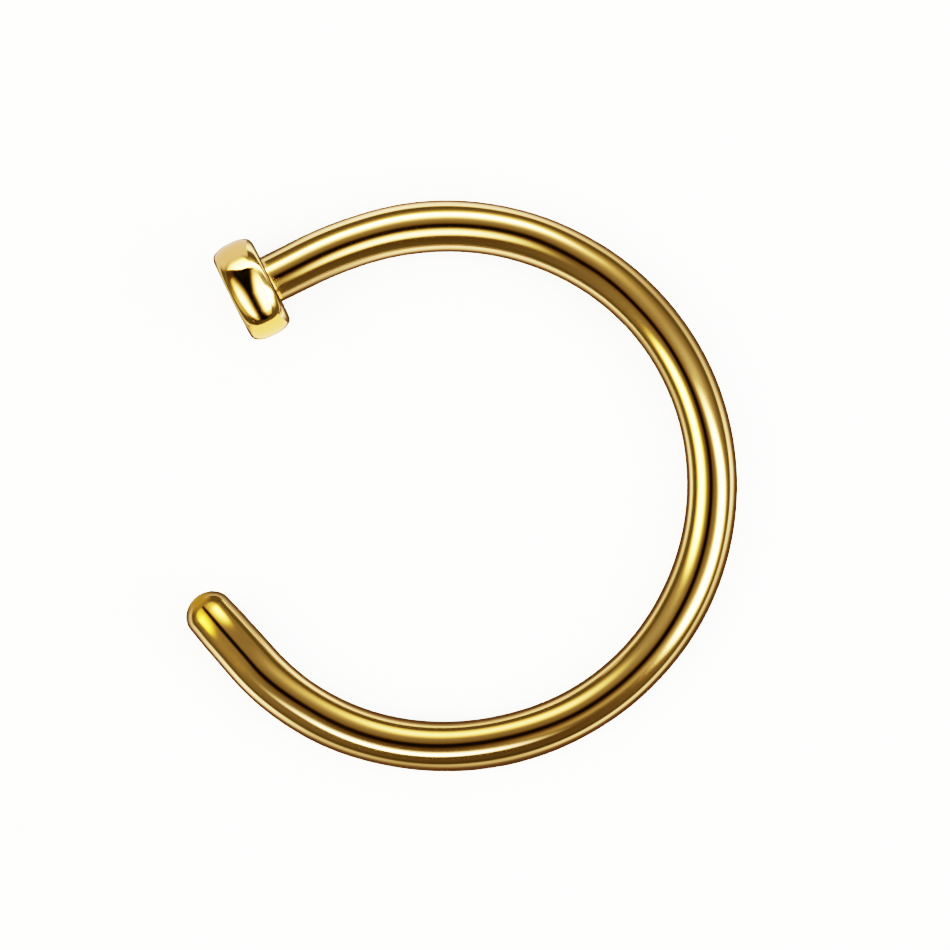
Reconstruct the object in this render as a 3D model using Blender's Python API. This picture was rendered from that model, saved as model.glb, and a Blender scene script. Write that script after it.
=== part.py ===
"""A nose ring: round wire bent into an open hoop, with a flat round disc on one end.

The wire and the disc are one solid. The hoop is bent flat in the XY plane, bend by bend from its
free end to its disc. It is then laid on its side as it rests by itself, on the rim of the disc
and on the wire across from it, with the middle of its footprint at the origin.
"""

import math

import bmesh
import bpy
from mathutils import Matrix
from mathutils import Vector

# Driving dimensions, in metres
HOOP_INNER_DIAMETER = 0.0080
WIRE_DIAMETER = 0.00084
TAIL_LENGTH = 0.00107  # straight wire between the round tip and the first bend
NECK_LENGTH = 0.00063  # straight wire between the last bend and the disc
DISC_DIAMETER = 0.00174
DISC_THICKNESS = 0.00074
DISC_EDGE_RADIUS = 0.00020

# The bends from the tail to the neck: each radius is a share of the hoop's own, to the wire's middle
BENDS = (
    # radius share, sweep in degrees
    (0.93, 32),
    (1.07, 38),
    (1.00, 78),
    (0.98, 49),
    (1.05, 47),
    (1.50, 11),
)
TAIL_HEADING = -48.5  # degrees from +X, the way the wire runs as it leaves its tip

# How finely the round surfaces are divided
WIRE_SIDES = 32
BEND_STEP = 3.0  # degrees
TIP_STEPS = 8
EDGE_STEPS = 5

# Lengths that follow
WIRE_RADIUS = WIRE_DIAMETER / 2
HOOP_RADIUS = HOOP_INNER_DIAMETER / 2 + WIRE_RADIUS
DISC_RADIUS = DISC_DIAMETER / 2
EDGE_SHARE = 0.45  # the most that the round edge takes of the disc's thickness, and of its shoulder
EDGE_RADIUS = min(
    DISC_EDGE_RADIUS,
    EDGE_SHARE * DISC_THICKNESS,
    EDGE_SHARE * (DISC_RADIUS - WIRE_RADIUS),
)

UP = Vector((0, 0, 1))


def clear_scene():
    for thing in list(bpy.data.objects):
        bpy.data.objects.remove(thing, do_unlink=True)


def polished_gold():
    """A warm yellow gold with a mirror polish."""
    material = bpy.data.materials.new("polished_gold")
    material.use_nodes = True
    shader = material.node_tree.nodes["Principled BSDF"]
    shader.inputs["Base Color"].default_value = (0.80, 0.55, 0.17, 1.0)
    shader.inputs["Metallic"].default_value = 1.0
    shader.inputs["Roughness"].default_value = 0.08
    material.diffuse_color = (0.80, 0.55, 0.17, 1.0)
    return material


def heading_vector(degrees):
    angle = math.radians(degrees)
    return Vector((math.cos(angle), math.sin(angle), 0))


def ring_frame(centre, direction):
    """A frame at a ring's centre, with its Z along the wire."""
    side = UP.cross(direction)
    turned = Matrix((side, UP, direction)).transposed()
    return Matrix.Translation(centre) @ turned.to_4x4()


def extrude_ring(bm, ring, frame, widen, advance):
    """Extrudes a ring of edges along its frame's Z and widens it, and gives the new ring."""
    made = bmesh.ops.extrude_edge_only(bm, edges=ring)["geom"]
    points = [item for item in made if isinstance(item, bmesh.types.BMVert)]
    change = Matrix.Translation((0, 0, advance)) @ Matrix.Diagonal((widen, widen, 1, 1))
    bmesh.ops.transform(bm, matrix=frame @ change @ frame.inverted(), verts=points)
    return [item for item in made if isinstance(item, bmesh.types.BMEdge)]


def follow_profile(bm, ring, frame, profile):
    """Extrudes a ring through a turned profile of (distance along the frame's Z, radius) pairs."""
    place, radius = 0.0, WIRE_RADIUS
    for next_place, next_radius in profile:
        centred = frame @ Matrix.Translation((0, 0, place))
        ring = extrude_ring(bm, ring, centred, next_radius / radius, next_place - place)
        place, radius = next_place, next_radius
    return ring


def round_tip(bm, ring, centre, direction):
    """Closes the wire's free end with half a ball of the wire's own radius."""
    profile = []
    for step in range(1, TIP_STEPS):
        angle = math.radians(90) * step / TIP_STEPS
        profile.append((WIRE_RADIUS * math.sin(angle), WIRE_RADIUS * math.cos(angle)))
    ring = follow_profile(bm, ring, ring_frame(centre, -direction), profile)
    pole = bm.verts.new(centre - direction * WIRE_RADIUS)
    for edge in ring:
        bm.faces.new((edge.verts[0], edge.verts[1], pole))


def bend_wire(bm, ring, centre, heading):
    """Spins the ring through each bend, and gives it with where the wire then is and heads."""
    for radius_share, sweep in BENDS:
        across = UP.cross(heading_vector(heading))
        pivot = centre + across * (HOOP_RADIUS * radius_share)
        turn = Matrix.Rotation(math.radians(sweep), 4, UP)
        spun = bmesh.ops.spin(
            bm,
            geom=ring,
            cent=pivot,
            axis=UP,
            angle=math.radians(sweep),
            steps=math.ceil(sweep / BEND_STEP),
        )
        ring = [item for item in spun["geom_last"] if isinstance(item, bmesh.types.BMEdge)]
        centre = pivot + turn @ (centre - pivot)
        heading += sweep
    return ring, centre, heading


def disc_profile():
    """The disc's half outline from the wire's side: inner face, round edge, rim and round edge."""
    face_radius = DISC_RADIUS - EDGE_RADIUS
    profile = [(0.0, face_radius)]
    for step in range(1, EDGE_STEPS + 1):
        angle = math.radians(90) * step / EDGE_STEPS
        inward = EDGE_RADIUS * (1 - math.cos(angle))
        profile.append((inward, face_radius + EDGE_RADIUS * math.sin(angle)))
    for place, radius in reversed(profile[:]):
        profile.append((DISC_THICKNESS - place, radius))
    return profile


def model_hoop(bm):
    """Models the tip, the tail, the bends, the neck and the disc as one closed surface."""
    direction = heading_vector(TAIL_HEADING)
    start = Vector((0, 0, 0))
    bmesh.ops.create_circle(
        bm, segments=WIRE_SIDES, radius=WIRE_RADIUS, matrix=ring_frame(start, direction)
    )
    first_ring = bm.edges[:]
    ring = extrude_ring(bm, first_ring, ring_frame(start, direction), 1, TAIL_LENGTH)
    round_tip(bm, first_ring, start, direction)
    ring, centre, heading = bend_wire(bm, ring, start + direction * TAIL_LENGTH, TAIL_HEADING)
    direction = heading_vector(heading)
    ring = extrude_ring(bm, ring, ring_frame(centre, direction), 1, NECK_LENGTH)
    seat = ring_frame(centre + direction * NECK_LENGTH, direction)
    ring = follow_profile(bm, ring, seat, disc_profile())
    bmesh.ops.contextual_create(bm, geom=ring)
    bmesh.ops.recalc_face_normals(bm, faces=bm.faces[:])


def centre_of_mass(bm):
    """The solid's centre of mass, from the pyramids between the origin and each face."""
    total = 0.0
    moment = Vector((0, 0, 0))
    for corners in bm.calc_loop_triangles():
        a, b, c = (corner.vert.co for corner in corners)
        volume = a.dot(b.cross(c)) / 6
        total += volume
        moment += volume * (a + b + c) / 4
    return moment / total


def resting_normal(bm):
    """The normal of the face that the solid settles on: the hull's lower face nearest its weight."""
    weight = centre_of_mass(bm)
    hull = bmesh.new()
    for vert in bm.verts:
        hull.verts.new(vert.co)
    bmesh.ops.convex_hull(hull, input=hull.verts[:])
    hull.normal_update()
    below = [face for face in hull.faces if face.normal.z < -0.5]
    lowest = min(below, key=lambda face: face.normal.dot(face.verts[0].co - weight))
    normal = lowest.normal.copy()
    hull.free()
    return normal


def lay_on_side(hoop, normal):
    """Turns the face with this normal down, and puts the footprint's middle at the origin."""
    turn = normal.rotation_difference(-UP)
    corners = [turn @ vert.co for vert in hoop.data.vertices]
    low = Vector(min(corner[axis] for corner in corners) for axis in range(3))
    high = Vector(max(corner[axis] for corner in corners) for axis in range(3))
    hoop.rotation_mode = "QUATERNION"
    hoop.rotation_quaternion = turn
    hoop.location = (-(low.x + high.x) / 2, -(low.y + high.y) / 2, -low.z)


def make_nose_ring():
    bm = bmesh.new()
    model_hoop(bm)
    normal = resting_normal(bm)
    mesh = bpy.data.meshes.new("nose_ring")
    bm.to_mesh(mesh)
    bm.free()
    mesh.shade_smooth()
    mesh.set_sharp_from_angle(angle=math.radians(40))
    mesh.materials.append(polished_gold())
    hoop = bpy.data.objects.new("nose_ring", mesh)
    bpy.context.scene.collection.objects.link(hoop)
    lay_on_side(hoop, normal)


clear_scene()
make_nose_ring()
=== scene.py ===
"""Looks for a nose ring: an open hoop of mirror-polished wire with a flat round disc on one end.

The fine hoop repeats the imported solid's sizes with more divisions and stands in its place. It
lies on a pale floor in a light tent with soft panels, which show as the bands on the metal.
Small cards near the disc and the tip, bent strips of light above the hoop and a round shade
inside it belong to the studio. Only the metal mirrors them.
"""

import math

import bmesh
import bpy
from mathutils import Matrix
from mathutils import Vector
from mathutils.geometry import intersect_point_tri
from mathutils.kdtree import KDTree


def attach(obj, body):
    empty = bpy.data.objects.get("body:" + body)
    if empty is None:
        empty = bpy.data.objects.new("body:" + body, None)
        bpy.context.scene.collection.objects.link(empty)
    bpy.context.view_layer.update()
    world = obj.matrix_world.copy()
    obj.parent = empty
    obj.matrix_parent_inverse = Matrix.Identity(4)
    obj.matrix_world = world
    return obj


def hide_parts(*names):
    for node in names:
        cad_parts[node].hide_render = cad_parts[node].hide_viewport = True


# Sizes of the ring, in metres, the same as the solid's
HOOP_INNER_DIAMETER = 0.0080
WIRE_DIAMETER = 0.00084
TAIL_LENGTH = 0.00107
NECK_LENGTH = 0.00063
DISC_DIAMETER = 0.00174
DISC_THICKNESS = 0.00074
BENDS = (
    # radius share of the hoop's own, sweep in degrees
    (0.93, 32),
    (1.07, 38),
    (1.00, 78),
    (0.98, 49),
    (1.05, 47),
    (1.50, 11),
)
TAIL_HEADING = -48.5  # degrees from +X

# Small unevenness that bending and hand polishing leave
SECTIONS = (
    # share of the way from tip to disc, lean outwards in radians, thickness against the wire's own
    (0.000, 0.000, 1.012),
    (0.018, 0.030, 1.044),
    (0.050, 0.045, 1.062),
    (0.109, -0.060, 1.038),
    (0.178, -0.020, 1.010),
    (0.261, -0.100, 1.022),
    (0.333, -0.015, 0.995),
    (0.379, 0.000, 0.996),
    (0.455, -0.020, 1.030),
    (0.537, -0.050, 1.024),
    (0.607, -0.100, 1.004),
    (0.683, -0.120, 0.990),
    (0.735, -0.050, 1.008),
    (0.797, 0.045, 1.032),
    (0.875, 0.010, 1.048),
    (0.930, 0.000, 1.020),
    (1.000, -0.020, 1.000),
)
TIP_LENGTH = 0.00037  # the free end is a little blunter than a half ball
RIM_HALF = 0.000306  # the disc's rim is turned like a barrel this far to each side of its middle
RIM_SAG = 0.000065  # and falls by this much there, where its round edge starts
FACE_INSET = 0.9  # a ring of points just inside the disc's flat faces, as a share of their radius
SHARP_ANGLE = 40  # degrees: edges sharper than this aren't shaded round

# How finely the round surfaces are divided
WIRE_SIDES = 96
BEND_STEP = 0.6  # degrees
STRAIGHT_STEPS = 12
TIP_STEPS = 20
EDGE_STEPS = 14
RIM_STEPS = 12
HULL_SCALE = 1000  # the hull is worked out in millimetres, because its faces are tiny in metres

WIRE_RADIUS = WIRE_DIAMETER / 2
HOOP_RADIUS = HOOP_INNER_DIAMETER / 2 + WIRE_RADIUS
DISC_RADIUS = DISC_DIAMETER / 2
UP = Vector((0, 0, 1))

# The camera looks square at the hoop from above, through a long lens
PICTURE_WIDTH = 0.016125  # what the picture's width takes in at the hoop
AIM_RIGHT = 0.000207  # from the middle of the ring's footprint to the middle of the picture
AIM_UP = 0.000209
LENS = 300.0  # millimetres
SENSOR = 36.0
CLIP_SHARE = 100  # how much nearer and further than the ring the camera sees

# The light tent, as the ring sees it
PANELS = (
    # azimuth, angle from the camera's line, half width, half height, slope, bend, hardness of its
    # ends, colour and brightness: below zero, it takes light away
    (-12, 53, 24, 10.5, -0.16, 0.9, 6, (50, 47, 38)),
    (96, 52, 31, 11.0, -0.1, 0.0, 4, (6.5, 5.8, 3.0)),
    (190, 46, 24, 11.5, 0.0, 0.0, 6, (40, 36, 14)),
    (60, 50, 20, 16, 0.0, 0.0, 3, (0.6, 0.55, 0.4)),
    (18, 45, 16, 18, 0.0, 0.0, 3, (0.5, 0.5, 0.5)),
    (150, 45, 32, 24, 0.0, 0.0, 3, (0.15, 0.16, 0.18)),
    (-50, 27, 26, 9, 0.0, 0.0, 3, (0.4, 0.38, 0.35)),
    (-78, 40, 38, 45, 0.0, 0.0, 3, (-0.15, -0.17, -0.20)),
)
WALLS = (
    # angle from the camera's line, colour and brightness: dark where the camera stands
    (0, (0.008, 0.004, 0.000)),
    (4, (0.018, 0.009, 0.000)),
    (7, (0.08, 0.06, 0.02)),
    (11, (0.17, 0.17, 0.12)),
    (20, (0.24, 0.25, 0.24)),
    (35, (0.26, 0.28, 0.28)),
    (60, (0.24, 0.25, 0.24)),
    (75, (0.21, 0.22, 0.20)),
    (82, (0.14, 0.155, 0.115)),
    (90, (0.12, 0.135, 0.095)),
)
DARKEST = (0.004, 0.002, 0.0)  # what is left of the walls where a panel takes light away
BACKDROP_BRIGHTNESS = 12.0
FILL_STRENGTH = 20.0
FILL_ANGLE = 100  # degrees, so that the shadow is faint and soft

# Strips of light close above the ring, bent as it is, for the sides of the wire that they face. They
# lie on a cone whose slope is the line from the wire across, which so sees them edge-on.
STRIP_HEIGHT = 0.00109  # of the cone's point above the hoop's plane
STRIP_SLOPE = 0.174
STRIP_REACH = 0.0105
CONE_SIDES = 192
RING_CENTRE = (-0.00022, 0.00004)  # from the middle of the ring's footprint, in the hoop's plane
STRIPS = (
    # azimuth, radius, half width in degrees, half width across, hardness, colour and brightness
    (-99, 0.00634, 20, 0.00044, 3, (22, 24, 28)),
    (97, 0.00715, 29, 0.00080, 4, (26, 26, 24)),
    (99, 0.00350, 22, 0.00030, 3, (12, 12, 9)),
)

# A low round shade inside the hoop, as grey as the walls, hides the strips from the wire across
SHADE_RADIUS = 0.0020
SHADE_FOOT = 0.00042  # above the hoop's plane
SHADE_HEAD = 0.00098
SHADE_COLOUR = (0.13, 0.145, 0.105)

# The floor, with painted light and a painted shadow on it that only the metal sees
FLOOR_COLOUR = (0.92, 0.92, 0.92, 1.0)
FLOOR_HALF = 0.6
FLOOR_FINE_HALF = 0.0084
FLOOR_STEP = 0.00012
FLOOR_PAINTED_LIGHT = (
    # distance from the ring in metres, the painted brightness that it mirrors there: even, and by
    # azimuth; low near the ring as a painted shadow
    (0.0, 0.10, 0.0),
    (0.0008, 0.115, 0.0),
    (0.0011, 0.15, 0.05),
    (0.0015, 0.20, 0.30),
    (0.0022, 0.25, 0.80),
    (0.0034, 0.26, 1.0),
    (0.0052, 0.24, 0.75),
    (0.0078, 0.20, 0.35),
    (0.0110, 0.16, 0.10),
    (0.0140, 0.14, 0.0),
)
FLOOR_PAINTED_TINTS = (
    # distance from the ring in metres, the colour of the painted light that the ring mirrors there
    (0.0, (1.0, 0.76, 0.52)),
    (0.0008, (1.0, 0.80, 0.60)),
    (0.0014, (0.95, 0.95, 1.0)),
    (0.0140, (0.92, 0.98, 1.0)),
)
FLOOR_GAIN = 1.15
FLOOR_PAINTED_ROUND = (
    # azimuth, the painted brightness there
    (-180, 0.5),
    (-150, 0.9),
    (-136, 4.0),
    (-120, 0.9),
    (-100, 0.35),
    (-78, 0.7),
    (-60, 1.9),
    (-48, 1.9),
    (-32, 1.1),
    (-18, 1.3),
    (3, 3.4),
    (22, 1.1),
    (42, 0.45),
    (60, 1.0),
    (85, 2.7),
    (108, 3.4),
    (128, 1.2),
    (180, 0.5),
)

GOLD = (0.80, 0.45, 0.14)
GOLD_VARIATION = 0.03  # how much the colour of the plating varies
CLOUD_RANGE = (0.3, 0.7)  # of the noise, from the dull colour to the bright one
CLOUD_SIZE = 0.0012
CLOUD_DETAIL = 2.0
POLISH_ROUGHNESS = (0.07, 0.12)
GRAIN_LENGTH = 0.0012  # the length of the polishing marks, which run along the wire
GRAIN_WIDTH = 0.00005
GRAIN_DEPTH = 0.000005
GRAIN_STRENGTH = 0.02
GRAIN_DETAIL = 3.0

# A small card close above the disc: white with a black wedge down its middle
DISC_CARD_HEIGHT = 0.00012  # above the disc's highest line
DISC_CARD_CORNERS = (
    # along the disc's axis outwards, and across it
    (-0.00036, 0.0032),
    (-0.00036, -0.00048),
    (0.0, -0.00059),
    (0.00040, -0.00098),
    (0.0009, -0.0014),
    (0.0009, 0.0032),
)
WEDGE = (
    # place across the disc, half width of the wedge, its middle, the card's brightness
    (-0.00051, 0.000185, 0.00000, 0.0),
    (-0.00026, 0.000105, 0.00001, 0.10),
    (-0.00006, 0.000066, 0.000020, 0.45),
    (0.00013, 0.000044, 0.000036, 1.0),
    (0.00036, 0.000044, 0.000037, 1.0),
    (0.00073, 0.000046, 0.000044, 0.80),
    (0.00110, 0.000040, 0.000044, 0.10),
    (0.00190, 0.000060, 0.000040, 0.0),
)
WEDGE_EDGE = 0.00012  # how wide the passage from black to the card's own colour is
OUTER_LOBE = (0.00022, 0.000085)  # how far from the wedge's edge the card is brightest, half width
NECK_LOBE = (0.00015, 0.00007)  # the one beside the neck stays bright as far as the card's edge
DISC_CARD_COLOUR = (24, 22, 15)
DISC_CARD_BASE = (0.85, 0.75, 0.42)
DISC_CARD_DARK = 0.10  # the least share of its own colour

# A light behind the disc
DISC_LIGHT_CORNERS = ((-0.00037, -0.0045), (0.0009, -0.0045), (0.0009, 0.0), (-0.00037, 0.0))
DISC_LIGHT_GAP = 0.00002  # above the disc's card
OVALS_AT_DISC = (
    # along the axis, across it, half sizes, colour and brightness
    (-0.00002, -0.00100, 0.00045, 0.00050, (12, 11, 6)),
    (0.0, -0.00240, 0.00080, 0.00140, (1.4, 1.3, 0.9)),
)

# Cards that stand at the disc's two ends, and one behind the first that hides it from the tip
DISC_END_REACH = (-0.00040, 0.0008)  # along the disc's axis
DISC_END_CARDS = (
    # place across the disc, lower and upper edge from the disc's axis, softness of the upper edge,
    # colour and brightness
    (0.00095, -0.0003, 0.00060, 0.00002, (2.7, 2.2, 1.25)),
    (-0.00095, -0.0003, 0.00088, 0.00025, (1.3, 1.15, 1.15)),
    (0.00097, -0.0003, 0.00062, 0.00002, (0.12, 0.135, 0.095)),
)
CARD_FOOT = 0.0003  # over which a standing card's lower edge fades
CARD_EVEN_SHARE = 0.56  # of a standing card's reach, beyond which its ends fade

# A card that stands before the tip's end, and one between the tip and the lights at the disc
TIP_END_COLOUR = (0.55, 0.45, 0.18)
TIP_END_PLACE = 0.0006
TIP_END_CORNERS = ((-0.0007, -0.0004), (0.0007, -0.0004), (0.0007, 0.0007), (-0.0007, 0.0007))
TIP_END_SIDES = (0.00005, 0.0006)  # where it starts to fade and is gone
TIP_END_TOP = (0.0003, 0.0006)
TIP_SHADE_AZIMUTH = 77  # from the tip towards the disc
TIP_SHADE_HALF = 0.0009
TIP_SHADE = (0.0015, -0.00018, 0.00080, 0.00004, (0.13, 0.145, 0.105))  # a row as in DISC_END_CARDS

# A card above the tip, with two ovals of light and a dark line between them
OVALS_AT_TIP = (
    # along the wire, across it, half sizes, colour and brightness
    (-0.00010, -0.00052, 0.00018, 0.00024, (14, 12, 1.0)),
    (-0.00050, -0.00052, 0.00040, 0.00034, (3.0, 2.4, 0.15)),
    (-0.00003, 0.00052, 0.00019, 0.00024, (14, 12, 3.5)),
    (-0.00040, 0.00052, 0.00038, 0.00034, (1.8, 1.4, 0.35)),
)
TIP_CARD_HEIGHT = 0.00035  # above the wire's highest line
TIP_CARD_AMBER = (0.28, 0.28, 0.26)
TIP_CARD_CORNERS = ((-0.0022, -0.0014), (0.0014, -0.0014), (0.0014, 0.0014), (-0.0022, 0.0014))
TIP_CARD_FADE = (0.0007, 0.0014)  # along the wire
TIP_LINE = (0.00002, 0.00014)  # half widths where the line is darkest and where it ends
TIP_LINE_START = (-0.0011, -0.0008)


def heading_vector(degrees):
    angle = math.radians(degrees)
    return Vector((math.cos(angle), math.sin(angle), 0))


def uneven_section(share):
    """The wire's lean and thickness at a share of the way round, with a soft passage between rows."""
    for (start, *before), (end, *after) in zip(SECTIONS, SECTIONS[1:]):
        if share <= end:
            part = (share - start) / (end - start)
            part = part * part * (3 - 2 * part)
            return [first + (second - first) * part for first, second in zip(before, after)]
    return SECTIONS[-1][1:]


def wire_stations():
    """Where the wire's middle runs from its tip to the disc: centre, heading and way so far."""
    heading = TAIL_HEADING
    blunted = WIRE_RADIUS - TIP_LENGTH
    centre = heading_vector(heading) * -blunted
    way = 0.0
    stations = [(centre, heading, way)]

    def run_straight(length):
        nonlocal centre, way
        for _ in range(STRAIGHT_STEPS):
            way += length / STRAIGHT_STEPS
            centre = centre + heading_vector(heading) * (length / STRAIGHT_STEPS)
            stations.append((centre, heading, way))

    run_straight(TAIL_LENGTH + blunted)
    for radius_share, sweep in BENDS:
        radius = HOOP_RADIUS * radius_share
        steps = math.ceil(sweep / BEND_STEP)
        pivot = centre + UP.cross(heading_vector(heading)) * radius
        turn = Matrix.Rotation(math.radians(sweep / steps), 4, UP)
        for _ in range(steps):
            centre = pivot + turn @ (centre - pivot)
            heading += sweep / steps
            way += radius * math.radians(sweep / steps)
            stations.append((centre, heading, way))
    run_straight(NECK_LENGTH)
    return stations


def section(centre, heading, radius, lean):
    """A ring of points across the wire, from its top outwards and round; lean makes it a little oval."""
    outwards = heading_vector(heading).cross(UP)
    points = []
    for side in range(WIRE_SIDES):
        angle = math.tau * side / WIRE_SIDES
        reach = radius * (1 + lean / 2 * math.sin(2 * angle))
        points.append(centre + reach * (math.cos(angle) * UP + math.sin(angle) * outwards))
    return points


def disc_outline():
    """The disc's half outline from the wire's side, as (distance along, radius) pairs."""
    middle = DISC_THICKNESS / 2
    slope = math.atan(3 * RIM_SAG / RIM_HALF)
    edge_radius = (middle - RIM_HALF) / (1 - math.sin(slope))
    face_radius = DISC_RADIUS - RIM_SAG - edge_radius * math.cos(slope)
    half = []
    for step in range(RIM_STEPS + 1):
        share = step / RIM_STEPS
        half.append((RIM_HALF * share, DISC_RADIUS - RIM_SAG * share**3))
    for step in range(1, EDGE_STEPS + 1):
        angle = slope + (math.radians(90) - slope) * step / EDGE_STEPS
        reach = RIM_HALF + edge_radius * (math.sin(angle) - math.sin(slope))
        half.append((reach, face_radius + edge_radius * math.cos(angle)))
    half.append((middle, FACE_INSET * face_radius))
    outline = [(middle - reach, radius) for reach, radius in reversed(half)]
    outline += [(middle + reach, radius) for reach, radius in half[1:]]
    return outline


def fine_hoop_mesh():
    """The tip, the wire and the disc as rings of points joined into one closed skin.

    Each point also keeps where it would be if the wire were straight, for marks that run along it.
    """
    stations = wire_stations()
    start, first_heading, _ = stations[0]
    end, last_heading, whole_way = stations[-1]
    tip_radius = WIRE_RADIUS * SECTIONS[0][2]
    sections = []
    for step in range(1, TIP_STEPS):
        angle = math.radians(90) * step / TIP_STEPS
        reach = TIP_LENGTH * math.cos(angle)
        centre = start - heading_vector(first_heading) * reach
        sections.append((centre, first_heading, tip_radius * math.sin(angle), 0.0, -reach))
    for centre, heading, way in stations:
        lean, thickness = uneven_section(way / whole_way)
        sections.append((centre, heading, WIRE_RADIUS * thickness, lean, way))
    along = heading_vector(last_heading)
    for place, radius in disc_outline():
        sections.append((end + along * place, last_heading, radius, 0.0, whole_way + place))
    points = [start - heading_vector(first_heading) * TIP_LENGTH]
    straight = [Vector((-TIP_LENGTH, 0, 0))]
    for centre, heading, radius, lean, place in sections:
        points.extend(section(centre, heading, radius, lean))
        straight.extend(section(Vector((place, 0, 0)), 0, radius, 0.0))
    points.append(end + along * DISC_THICKNESS)
    straight.append(Vector((whole_way + DISC_THICKNESS, 0, 0)))
    last = len(points) - 1
    final_ring = last - WIRE_SIDES
    faces = []
    for side in range(WIRE_SIDES):
        beside = (side + 1) % WIRE_SIDES
        faces.append((0, 1 + beside, 1 + side))
        faces.append((last, final_ring + side, final_ring + beside))
        for ring in range(len(sections) - 1):
            near = 1 + ring * WIRE_SIDES
            far = near + WIRE_SIDES
            faces.append((near + side, near + beside, far + beside, far + side))
    mesh = bpy.data.meshes.new("polished_nose_ring")
    mesh.from_pydata(points, [], faces)
    attribute = mesh.attributes.new("straightened", "FLOAT_VECTOR", "POINT")
    attribute.data.foreach_set("vector", [value for point in straight for value in point])
    return mesh


def centre_of_mass(bm):
    """The solid's centre of mass, from the pyramids between the origin and each face."""
    total = 0.0
    moment = Vector((0, 0, 0))
    for corners in bm.calc_loop_triangles():
        a, b, c = (corner.vert.co for corner in corners)
        volume = a.dot(b.cross(c)) / 6
        total += volume
        moment += volume * (a + b + c) / 4
    return moment / total


def resting_normal(bm):
    """The normal of the face that the solid rests on: the hull's face that its weight is over."""
    weight = centre_of_mass(bm)
    hull = bmesh.new()
    for vert in bm.verts:
        hull.verts.new((vert.co - weight) * HULL_SCALE)
    bmesh.ops.convex_hull(hull, input=hull.verts[:])
    hull.normal_update()
    for face in hull.faces:
        a, b, c = (vert.co for vert in face.verts)
        if face.normal.z < -0.5 and intersect_point_tri(Vector((0, 0, 0)), a, b, c):
            normal = face.normal.copy()
    hull.free()
    return normal


def lay_on_side(mesh):
    """Turns the hoop as it rests by itself, its footprint's middle at the origin; gives the move."""
    bm = bmesh.new()
    bm.from_mesh(mesh)
    bmesh.ops.recalc_face_normals(bm, faces=bm.faces[:])
    turn = resting_normal(bm).rotation_difference(-UP).to_matrix().to_4x4()
    bmesh.ops.transform(bm, matrix=turn, verts=bm.verts[:])
    low = Vector(min(vert.co[axis] for vert in bm.verts) for axis in range(3))
    high = Vector(max(vert.co[axis] for vert in bm.verts) for axis in range(3))
    shift = Vector((-(low.x + high.x) / 2, -(low.y + high.y) / 2, -low.z))
    bmesh.ops.translate(bm, vec=shift, verts=bm.verts[:])
    bm.to_mesh(mesh)
    bm.free()
    return Matrix.Translation(shift) @ turn


def maths(tree, operation, *values):
    """Adds a Math node, and gives its result."""
    node = tree.nodes.new("ShaderNodeMath")
    node.operation = operation
    for socket, value in zip(node.inputs, values):
        if isinstance(value, (int, float)):
            socket.default_value = value
        else:
            tree.links.new(value, socket)
    return node.outputs[0]


def vector_maths(tree, operation, first, second):
    """Adds a Vector Math node, and gives the node."""
    node = tree.nodes.new("ShaderNodeVectorMath")
    node.operation = operation
    for socket, value in zip(node.inputs, (first, second)):
        if isinstance(value, bpy.types.NodeSocket):
            tree.links.new(value, socket)
        else:
            socket.default_value = value
    return node


def colour_ramp(tree, value, stops):
    """Adds a Color Ramp node with (place, colour) stops, and gives its colour."""
    node = tree.nodes.new("ShaderNodeValToRGB")
    tree.links.new(value, node.inputs[0])
    elements = node.color_ramp.elements
    while len(elements) < len(stops):
        elements.new(1.0)
    for element, (place, colour) in zip(elements, stops):
        element.position = place
        element.color = (*colour, 1.0)
    return node.outputs["Color"]


def map_range(tree, value, low, high):
    """Brings a value between 0 and 1 to one between low and high."""
    node = tree.nodes.new("ShaderNodeMapRange")
    tree.links.new(value, node.inputs["Value"])
    node.inputs["To Min"].default_value = low
    node.inputs["To Max"].default_value = high
    return node.outputs["Result"]


def noise(tree, vector, scale, detail):
    """Adds a Noise Texture node, and gives its value."""
    node = tree.nodes.new("ShaderNodeTexNoise")
    node.inputs["Scale"].default_value = scale
    node.inputs["Detail"].default_value = detail
    tree.links.new(vector, node.inputs["Vector"])
    return node.outputs["Fac"]


def polished_gold():
    """A warm yellow gold with a mirror polish, fine marks along the wire and slight clouds."""
    material = bpy.data.materials.new("polished_gold")
    material.use_nodes = True
    tree = material.node_tree
    shader = tree.nodes["Principled BSDF"]
    shader.inputs["Metallic"].default_value = 1.0
    attribute = tree.nodes.new("ShaderNodeAttribute")
    attribute.attribute_name = "straightened"
    straight = attribute.outputs["Vector"]
    stretch = (1 / GRAIN_LENGTH, 1 / GRAIN_WIDTH, 1 / GRAIN_WIDTH)
    stretched = vector_maths(tree, "MULTIPLY", straight, stretch).outputs["Vector"]
    grain = noise(tree, stretched, 1.0, GRAIN_DETAIL)
    clouds = noise(tree, straight, 1 / CLOUD_SIZE, CLOUD_DETAIL)
    dull = [channel * (1 - GOLD_VARIATION) for channel in GOLD]
    bright = [channel * (1 + GOLD_VARIATION) for channel in GOLD]
    stops = list(zip(CLOUD_RANGE, (dull, bright)))
    tree.links.new(colour_ramp(tree, clouds, stops), shader.inputs["Base Color"])
    tree.links.new(map_range(tree, grain, *POLISH_ROUGHNESS), shader.inputs["Roughness"])
    bump = tree.nodes.new("ShaderNodeBump")
    bump.inputs["Strength"].default_value = GRAIN_STRENGTH
    bump.inputs["Distance"].default_value = GRAIN_DEPTH
    tree.links.new(grain, bump.inputs["Height"])
    tree.links.new(bump.outputs["Normal"], shader.inputs["Normal"])
    return material


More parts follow.
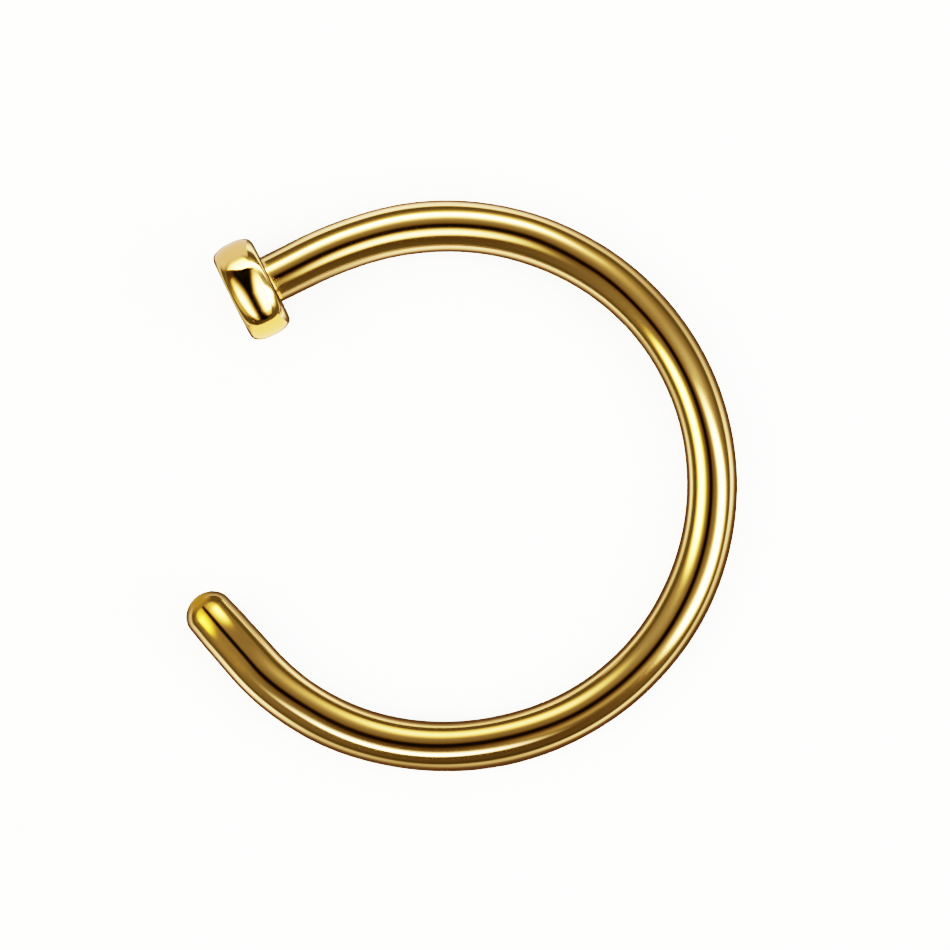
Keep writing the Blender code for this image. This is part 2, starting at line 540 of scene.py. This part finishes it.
def make_hoop():
    """The fine hoop in the solid's place, and the move that lays it down. It doesn't mirror itself."""
    mesh = fine_hoop_mesh()
    pose = lay_on_side(mesh)
    mesh.shade_smooth()
    mesh.set_sharp_from_angle(angle=math.radians(SHARP_ANGLE))
    mesh.materials.append(polished_gold())
    hoop = bpy.data.objects.new("polished_nose_ring", mesh)
    bpy.context.scene.collection.objects.link(hoop)
    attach(hoop, "root")
    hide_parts("nose_ring")
    hoop.visible_glossy = False
    return hoop, pose


def floor_material():
    """Plain pale paper. The metal sees painted light on it instead: warm, with a painted shadow near the
    ring.
    """
    material = bpy.data.materials.new("floor")
    material.use_nodes = True
    tree = material.node_tree
    tree.nodes.clear()
    paper = tree.nodes.new("ShaderNodeBsdfDiffuse")
    paper.inputs["Color"].default_value = FLOOR_COLOUR
    attribute = tree.nodes.new("ShaderNodeAttribute")
    attribute.attribute_name = "distance"
    furthest = FLOOR_PAINTED_LIGHT[-1][0]
    brightest = max(level for _, level in FLOOR_PAINTED_ROUND)
    share = maths(tree, "DIVIDE", attribute.outputs["Fac"], furthest)
    stops = [(place / furthest, (even, varied, 0)) for place, even, varied in FLOOR_PAINTED_LIGHT]
    levels = tree.nodes.new("ShaderNodeSeparateColor")
    tree.links.new(colour_ramp(tree, share, stops), levels.inputs[0])
    position = tree.nodes.new("ShaderNodeSeparateXYZ")
    tree.links.new(tree.nodes.new("ShaderNodeTexCoord").outputs["Object"], position.inputs[0])
    azimuth = maths(tree, "ARCTAN2", position.outputs["Y"], position.outputs["X"])
    turn = maths(tree, "ADD", maths(tree, "DIVIDE", azimuth, math.tau), 0.5)
    stops = [((angle + 180) / 360, (level / brightest,) * 3) for angle, level in FLOOR_PAINTED_ROUND]
    varied = maths(tree, "MULTIPLY", colour_ramp(tree, turn, stops), brightest)
    varied = maths(tree, "MULTIPLY", varied, levels.outputs[1])
    # painted light for glossy rays: a painted shadow near the ring, brighter further off and by azimuth
    painted_light = tree.nodes.new("ShaderNodeEmission")
    stops = [(place / furthest, colour) for place, colour in FLOOR_PAINTED_TINTS]
    tree.links.new(colour_ramp(tree, share, stops), painted_light.inputs["Color"])
    level = maths(tree, "MULTIPLY", maths(tree, "ADD", varied, levels.outputs[0]), FLOOR_GAIN)
    tree.links.new(level, painted_light.inputs["Strength"])
    path = tree.nodes.new("ShaderNodeLightPath")
    mix = tree.nodes.new("ShaderNodeMixShader")
    tree.links.new(path.outputs["Is Glossy Ray"], mix.inputs[0])
    tree.links.new(paper.outputs[0], mix.inputs[1])
    tree.links.new(painted_light.outputs[0], mix.inputs[2])
    output = tree.nodes.new("ShaderNodeOutputMaterial")
    tree.links.new(mix.outputs[0], output.inputs["Surface"])
    return material


def make_floor(hoop):
    """A wide floor, with small squares near the ring that know how far from it they are."""
    hoop_points = hoop.data.vertices
    tree = KDTree(len(hoop_points))
    for vert in hoop_points:
        tree.insert(vert.co, vert.index)
    tree.balance()
    count = round(2 * FLOOR_FINE_HALF / FLOOR_STEP)
    fine = [-FLOOR_FINE_HALF + FLOOR_STEP * step for step in range(count + 1)]
    line = [-FLOOR_HALF, *fine, FLOOR_HALF]
    points = [Vector((x, y, 0)) for y in line for x in line]
    faces = []
    width = len(line)
    for row in range(width - 1):
        for column in range(width - 1):
            corner = row * width + column
            faces.append((corner, corner + 1, corner + width + 1, corner + width))
    mesh = bpy.data.meshes.new("floor")
    mesh.from_pydata(points, [], faces)
    distance = mesh.attributes.new("distance", "FLOAT", "POINT")
    distance.data.foreach_set("value", [tree.find(point)[2] for point in points])
    mesh.materials.append(floor_material())
    floor = bpy.data.objects.new("floor", mesh)
    bpy.context.scene.collection.objects.link(floor)


def scaled(tree, colour, amount):
    """A colour times a value."""
    node = tree.nodes.new("ShaderNodeVectorMath")
    node.operation = "SCALE"
    if isinstance(colour, bpy.types.NodeSocket):
        tree.links.new(colour, node.inputs[0])
    else:
        node.inputs[0].default_value = colour
    tree.links.new(amount, node.inputs["Scale"])
    return node.outputs[0]


def squared(tree, value):
    return maths(tree, "MULTIPLY", value, value)


def bell(tree, value):
    """1 at zero, and softly less as the value grows."""
    return maths(tree, "EXPONENT", maths(tree, "MULTIPLY", value, -1.0))


def soft_panel(tree, direction, tilt, row):
    """The light from one panel in each direction: an oval that fades softly towards its edge."""
    azimuth, middle, half_width, half_height, slope, bend, hardness, colour = row
    ahead = heading_vector(azimuth)
    along = vector_maths(tree, "DOT_PRODUCT", direction, ahead).outputs["Value"]
    aside = vector_maths(tree, "DOT_PRODUCT", direction, UP.cross(ahead)).outputs["Value"]
    turn = maths(tree, "ARCTAN2", aside, along)
    swing = maths(tree, "DIVIDE", maths(tree, "ABSOLUTE", turn), math.radians(half_width))
    lift = maths(tree, "SUBTRACT", tilt, math.radians(middle))
    lift = maths(tree, "SUBTRACT", lift, maths(tree, "MULTIPLY", turn, slope))
    if bend:
        lift = maths(tree, "ADD", lift, maths(tree, "MULTIPLY", squared(tree, turn), bend))
    lift = maths(tree, "DIVIDE", lift, math.radians(half_height))
    ends = maths(tree, "POWER", swing, hardness)
    return scaled(tree, colour, bell(tree, maths(tree, "ADD", ends, squared(tree, lift))))


def make_studio(pose):
    """The light tent: dark where the camera stands, grey walls, soft panels and a pale backdrop."""
    world = bpy.data.worlds.new("studio")
    bpy.context.scene.world = world
    world.use_nodes = True
    tree = world.node_tree
    tree.nodes.clear()
    direction = tree.nodes.new("ShaderNodeTexCoord").outputs["Generated"]
    square = pose.to_3x3() @ UP
    height = vector_maths(tree, "DOT_PRODUCT", direction, square).outputs["Value"]
    tilt = maths(tree, "ARCCOSINE", height)
    share = maths(tree, "DIVIDE", tilt, math.radians(90))
    light = colour_ramp(tree, share, [(angle / 90, colour) for angle, colour in WALLS])
    for row in PANELS:
        light = vector_maths(tree, "ADD", light, soft_panel(tree, direction, tilt, row)).outputs[0]
    light = vector_maths(tree, "MAXIMUM", light, DARKEST).outputs[0]
    tent = tree.nodes.new("ShaderNodeBackground")
    tree.links.new(light, tent.inputs["Color"])
    backdrop = tree.nodes.new("ShaderNodeBackground")
    backdrop.inputs["Strength"].default_value = BACKDROP_BRIGHTNESS
    path = tree.nodes.new("ShaderNodeLightPath")
    mix = tree.nodes.new("ShaderNodeMixShader")
    tree.links.new(path.outputs["Is Camera Ray"], mix.inputs[0])
    tree.links.new(tent.outputs[0], mix.inputs[1])
    tree.links.new(backdrop.outputs[0], mix.inputs[2])
    output = tree.nodes.new("ShaderNodeOutputWorld")
    tree.links.new(mix.outputs[0], output.inputs["Surface"])


def card_material(name, light, cover=0.0):
    """Shines with light, and hides as much of what lies behind it as cover says.

    Each is given as it is, or as a function of the places along and across the card.
    """
    material = bpy.data.materials.new(name)
    material.use_nodes = True
    tree = material.node_tree
    tree.nodes.clear()
    place = tree.nodes.new("ShaderNodeSeparateXYZ")
    tree.links.new(tree.nodes.new("ShaderNodeTexCoord").outputs["Object"], place.inputs[0])
    along, across = place.outputs["X"], place.outputs["Y"]
    glow = tree.nodes.new("ShaderNodeEmission")
    if callable(light):
        tree.links.new(light(tree, along, across), glow.inputs["Color"])
    else:
        glow.inputs["Color"].default_value = (*light, 1.0)
    clear = tree.nodes.new("ShaderNodeBsdfTransparent")
    hidden = tree.nodes.new("ShaderNodeMixShader")
    if callable(cover):
        tree.links.new(cover(tree, along, across), hidden.inputs[0])
    else:
        hidden.inputs[0].default_value = cover
    tree.links.new(clear.outputs[0], hidden.inputs[1])
    black = tree.nodes.new("ShaderNodeEmission")
    black.inputs["Strength"].default_value = 0.0
    tree.links.new(black.outputs[0], hidden.inputs[2])
    both = tree.nodes.new("ShaderNodeAddShader")
    tree.links.new(glow.outputs[0], both.inputs[0])
    tree.links.new(hidden.outputs[0], both.inputs[1])
    output = tree.nodes.new("ShaderNodeOutputMaterial")
    tree.links.new(both.outputs[0], output.inputs["Surface"])
    return material


def make_card(name, points, faces, matrix, material):
    """A thin card that nothing but the metal's mirror sees."""
    mesh = bpy.data.meshes.new(name)
    mesh.from_pydata(points, [], faces)
    mesh.materials.append(material)
    card = bpy.data.objects.new(name, mesh)
    card.matrix_world = matrix
    bpy.context.scene.collection.objects.link(card)
    card.visible_camera = False
    card.visible_diffuse = False
    card.visible_transmission = False
    card.visible_volume_scatter = False
    card.visible_shadow = False


def make_flat_card(name, corners, matrix, material):
    points = [Vector((*corner, 0)) for corner in corners]
    make_card(name, points, [tuple(range(len(corners)))], matrix, material)


def make_cone_card(name, matrix, material):
    """A wide cone with its point at the ring's centre, whose edge is higher than its point."""
    points = [Vector((0, 0, 0))]
    for side in range(CONE_SIDES):
        points.append((heading_vector(360 * side / CONE_SIDES) + UP * STRIP_SLOPE) * STRIP_REACH)
    last = len(points) - 1
    faces = [(0, side, side % last + 1) for side in range(1, last + 1)]
    make_card(name, points, faces, matrix, material)


def make_round_shade(name, matrix, material):
    """A short upright tube round the frame's middle."""
    points = []
    for height in (SHADE_FOOT, SHADE_HEAD):
        for side in range(WIRE_SIDES):
            points.append(heading_vector(360 * side / WIRE_SIDES) * SHADE_RADIUS + UP * height)
    faces = []
    for side in range(WIRE_SIDES):
        beside = (side + 1) % WIRE_SIDES
        faces.append((side, beside, WIRE_SIDES + beside, WIRE_SIDES + side))
    make_card(name, points, faces, matrix, material)


def shifted_share(tree, value, start, length):
    """How far a value is from a start, as a share of a length."""
    return maths(tree, "DIVIDE", maths(tree, "SUBTRACT", value, start), length)


def ovals_of_light(tree, along, across, rows):
    """Soft ovals of light at places on a card."""
    light = (0.0, 0.0, 0.0)
    for place_along, place_across, half_length, half_width, colour in rows:
        first = shifted_share(tree, along, place_along, half_length)
        second = shifted_share(tree, across, place_across, half_width)
        fade = bell(tree, maths(tree, "ADD", squared(tree, first), squared(tree, second)))
        light = vector_maths(tree, "ADD", scaled(tree, colour, fade), light).outputs[0]
    return light


def wedge_light(tree, along, across):
    """White on both sides of a black wedge, which fades towards the card's two ends."""
    first, last = WEDGE[0][0], WEDGE[-1][0]
    widest = max(row[1] for row in WEDGE)
    furthest = max(abs(row[2]) for row in WEDGE)
    share = shifted_share(tree, across, first, last - first)
    stops = []
    for place, half_width, middle, brightness in WEDGE:
        colour = (half_width / widest, 0.5 + 0.5 * middle / furthest, brightness)
        stops.append(((place - first) / (last - first), colour))
    shape = tree.nodes.new("ShaderNodeSeparateColor")
    tree.links.new(colour_ramp(tree, share, stops), shape.inputs[0])
    half_width = maths(tree, "MULTIPLY", shape.outputs[0], widest)
    middle = maths(tree, "MULTIPLY", maths(tree, "SUBTRACT", shape.outputs[1], 0.5), 2 * furthest)
    beside = maths(tree, "ABSOLUTE", maths(tree, "SUBTRACT", along, middle))
    beside = maths(tree, "SUBTRACT", beside, half_width)
    clamp = tree.nodes.new("ShaderNodeClamp")
    tree.links.new(maths(tree, "DIVIDE", beside, WEDGE_EDGE), clamp.inputs["Value"])
    level = shape.outputs[2]
    own = maths(tree, "ADD", maths(tree, "MULTIPLY", level, 1 - DISC_CARD_DARK), DISC_CARD_DARK)
    base = scaled(tree, DISC_CARD_BASE, maths(tree, "MULTIPLY", clamp.outputs[0], own))
    outer = bell(tree, squared(tree, shifted_share(tree, beside, *OUTER_LOBE)))
    off = maths(tree, "MINIMUM", shifted_share(tree, beside, *NECK_LOBE), 0.0)
    inner = bell(tree, squared(tree, off))
    outside = maths(tree, "GREATER_THAN", along, middle)
    inside = maths(tree, "SUBTRACT", 1.0, outside)
    lobe = maths(tree, "MULTIPLY", outer, outside)
    lobe = maths(tree, "ADD", lobe, maths(tree, "MULTIPLY", inner, inside))
    bright = scaled(tree, DISC_CARD_COLOUR, maths(tree, "MULTIPLY", lobe, level))
    return vector_maths(tree, "ADD", base, bright).outputs[0]


def fade_between(tree, value, start, end):
    """1 on the near side of start, 0 on the far side of end, and a soft passage between."""
    node = tree.nodes.new("ShaderNodeMapRange")
    node.interpolation_type = "SMOOTHSTEP"
    tree.links.new(value, node.inputs["Value"])
    node.inputs["From Min"].default_value = start
    node.inputs["From Max"].default_value = end
    node.inputs["To Min"].default_value = 1.0
    node.inputs["To Max"].default_value = 0.0
    return node.outputs["Result"]


def tip_cover(tree, along, across):
    return fade_between(tree, along, *TIP_CARD_FADE)


def tip_light(tree, along, across):
    """Amber all over but for a dark line down its middle, with the two ovals."""
    dark = fade_between(tree, maths(tree, "ABSOLUTE", across), *TIP_LINE)
    before_line = fade_between(tree, along, *TIP_LINE_START)
    level = maths(tree, "MAXIMUM", maths(tree, "SUBTRACT", 1.0, dark), before_line)
    amber = scaled(tree, TIP_CARD_AMBER, tip_cover(tree, along, across))
    ovals = ovals_of_light(tree, along, across, OVALS_AT_TIP)
    return scaled(tree, vector_maths(tree, "ADD", amber, ovals).outputs[0], level)


def tip_end_cover(tree, along, across):
    sides = fade_between(tree, maths(tree, "ABSOLUTE", along), *TIP_END_SIDES)
    top = fade_between(tree, across, *TIP_END_TOP)
    return maths(tree, "MULTIPLY", sides, top)


def tip_end_light(tree, along, across):
    return scaled(tree, TIP_END_COLOUR, tip_end_cover(tree, along, across))


def disc_oval(tree, along, across):
    return ovals_of_light(tree, along, across, OVALS_AT_DISC)


def strip_lights(tree, along, across):
    """Bent strips round the ring's centre, which fade softly towards their edges."""
    light = (0.0, 0.0, 0.0)
    radius = maths(tree, "SQRT", maths(tree, "ADD", squared(tree, along), squared(tree, across)))
    for azimuth, middle, half_turn, half_width, hardness, colour in STRIPS:
        ahead = heading_vector(azimuth)
        parts = [maths(tree, "MULTIPLY", along, ahead.x), maths(tree, "MULTIPLY", across, ahead.y)]
        forward = maths(tree, "ADD", *parts)
        parts = [maths(tree, "MULTIPLY", across, ahead.x), maths(tree, "MULTIPLY", along, ahead.y)]
        aside = maths(tree, "SUBTRACT", *parts)
        turn = maths(tree, "ABSOLUTE", maths(tree, "ARCTAN2", aside, forward))
        swing = maths(tree, "POWER", maths(tree, "DIVIDE", turn, math.radians(half_turn)), hardness)
        off = squared(tree, shifted_share(tree, radius, middle, half_width))
        bright = bell(tree, maths(tree, "ADD", swing, off))
        light = vector_maths(tree, "ADD", scaled(tree, colour, bright), light).outputs[0]
    return light


def stood_up(frame, place):
    """A frame whose Y stands up, at a place along the given frame's Y."""
    return frame @ Matrix.Translation((0, place, 0)) @ Matrix.Rotation(math.radians(90), 4, "X")


def standing_card(name, frame, left, right, row):
    """A card of one colour that stands across a frame's Y, with soft ends and a soft foot."""
    place, low, high, softness, colour = row

    def cover(tree, along, across):
        ends = fade_between(tree, maths(tree, "ABSOLUTE", along), CARD_EVEN_SHARE * right, right)
        foot = fade_between(tree, across, low + CARD_FOOT, low)
        head = fade_between(tree, across, high - softness, high)
        return maths(tree, "MULTIPLY", maths(tree, "MULTIPLY", ends, foot), head)

    def light(tree, along, across):
        return scaled(tree, colour, cover(tree, along, across))

    corners = ((left, low), (right, low), (right, high), (left, high))
    make_flat_card(name, corners, stood_up(frame, place), card_material(name, light, cover))


def make_disc_cards(pose):
    """The wedge above the disc, the light behind it and the cards at its two ends."""
    end, heading, _ = wire_stations()[-1]
    middle = end + heading_vector(heading) * (DISC_THICKNESS / 2)
    disc = pose @ Matrix.Translation(middle) @ Matrix.Rotation(math.radians(heading), 4, UP)
    above = disc @ Matrix.Translation(UP * (DISC_RADIUS + DISC_CARD_HEIGHT))
    make_flat_card("disc_card", DISC_CARD_CORNERS, above, card_material("disc_card", wedge_light, 1.0))
    above = above @ Matrix.Translation(UP * DISC_LIGHT_GAP)
    make_flat_card("disc_light", DISC_LIGHT_CORNERS, above, card_material("disc_light", disc_oval))
    for number, row in enumerate(DISC_END_CARDS):
        standing_card(f"disc_end_card_{number}", disc, *DISC_END_REACH, row)


def make_tip_cards(pose):
    """The ovals above the tip, its shade towards the disc and the card before its end."""
    tip = pose @ Matrix.Rotation(math.radians(TAIL_HEADING), 4, UP)
    above = tip @ Matrix.Translation(UP * (WIRE_RADIUS + TIP_CARD_HEIGHT))
    make_flat_card("tip_card", TIP_CARD_CORNERS, above, card_material("tip_card", tip_light, tip_cover))
    beside = pose @ Matrix.Rotation(math.radians(TIP_SHADE_AZIMUTH - 90), 4, UP)
    standing_card("tip_shade", beside, -TIP_SHADE_HALF, TIP_SHADE_HALF, TIP_SHADE)
    ahead = stood_up(tip @ Matrix.Rotation(math.radians(-90), 4, UP), -TIP_END_PLACE)
    material = card_material("tip_end_card", tip_end_light, tip_end_cover)
    make_flat_card("tip_end_card", TIP_END_CORNERS, ahead, material)


def make_strip_lights(pose):
    """The cone of bent strips above the hoop, and the round shade inside it."""
    square, foot, right, up = hoop_plane(pose)
    centre = foot + right * RING_CENTRE[0] + up * RING_CENTRE[1]
    facing = Matrix.Translation(centre) @ Matrix((right, up, square)).transposed().to_4x4()
    make_round_shade("strip_shade", facing, card_material("strip_shade", SHADE_COLOUR, 1.0))
    above = facing @ Matrix.Translation(UP * STRIP_HEIGHT)
    make_cone_card("strip_lights", above, card_material("strip_lights", strip_lights))


def hoop_plane(pose):
    """The line square to the hoop, where it meets the hoop's plane, and the picture's right and up."""
    square = pose.to_3x3() @ UP
    foot = square * square.dot(pose.translation)
    up = (Vector((0, 1, 0)) - square * square.y).normalized()
    return square, foot, up.cross(square), up


def make_fill_light():
    """A wide soft light from above for the floor alone."""
    data = bpy.data.lights.new("fill", "SUN")
    data.energy = FILL_STRENGTH
    data.angle = math.radians(FILL_ANGLE)
    fill = bpy.data.objects.new("fill", data)
    fill.visible_glossy = False
    bpy.context.scene.collection.objects.link(fill)


def make_camera(pose):
    """Looks down along the line square to the hoop, with the picture's up towards +Y."""
    square, foot, right, up = hoop_plane(pose)
    aim = foot + right * AIM_RIGHT + up * AIM_UP
    data = bpy.data.cameras.new("camera")
    data.lens = LENS
    data.sensor_width = SENSOR
    distance = PICTURE_WIDTH * LENS / SENSOR
    data.clip_start = distance / CLIP_SHARE
    data.clip_end = distance * CLIP_SHARE
    camera = bpy.data.objects.new("camera", data)
    turned = Matrix((right, up, square)).transposed()
    camera.matrix_world = Matrix.Translation(aim + square * distance) @ turned.to_4x4()
    bpy.context.scene.collection.objects.link(camera)
    bpy.context.scene.camera = camera


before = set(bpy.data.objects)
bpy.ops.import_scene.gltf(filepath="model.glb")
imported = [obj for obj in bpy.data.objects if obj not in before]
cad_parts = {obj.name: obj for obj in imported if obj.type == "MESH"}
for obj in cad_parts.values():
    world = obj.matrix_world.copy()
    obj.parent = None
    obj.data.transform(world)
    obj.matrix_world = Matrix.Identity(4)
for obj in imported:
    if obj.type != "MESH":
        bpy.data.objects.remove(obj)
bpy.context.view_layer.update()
fine_hoop, hoop_pose = make_hoop()
make_floor(fine_hoop)
make_studio(hoop_pose)
make_disc_cards(hoop_pose)
make_tip_cards(hoop_pose)
make_strip_lights(hoop_pose)
make_fill_light()
make_camera(hoop_pose)
bpy.context.scene.view_settings.view_transform = "Filmic"
bpy.context.scene.view_settings.look = "High Contrast"
